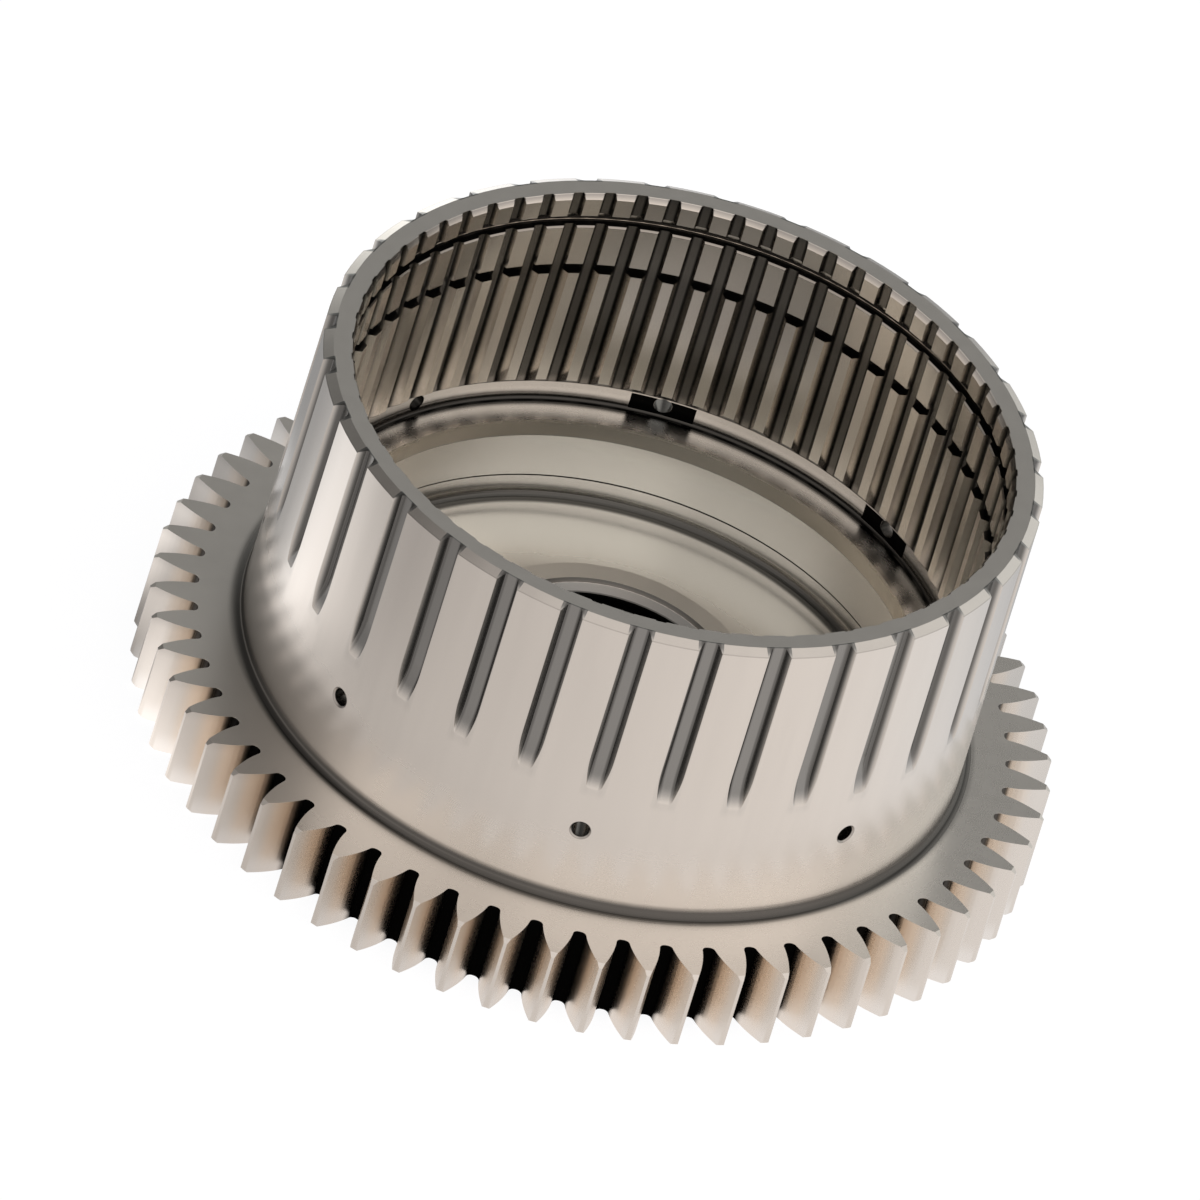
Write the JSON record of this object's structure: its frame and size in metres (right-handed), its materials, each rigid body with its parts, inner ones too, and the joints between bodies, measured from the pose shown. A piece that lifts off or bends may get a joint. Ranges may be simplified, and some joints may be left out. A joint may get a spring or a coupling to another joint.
{
  "type": "transmission gear",
  "caption": "Spur gear made in one piece with a fluted clutch drum that has internal splines, ring grooves, oil holes and a bored hub.",
  "frame": {"origin": "on the axis, in the plane of the gear's lower face", "axes": "+Z along the axis, from the gear's lower face to the drum's rim; +X through the middle of a gear tooth"},
  "size_m": [0.2191, 0.2192, 0.1033],
  "materials": {
    "steel": "turned and cut steel, lightly oiled"
  },
  "bodies": {
    "root": {"drum_gear": "steel"}
  },
  "joints": []
}
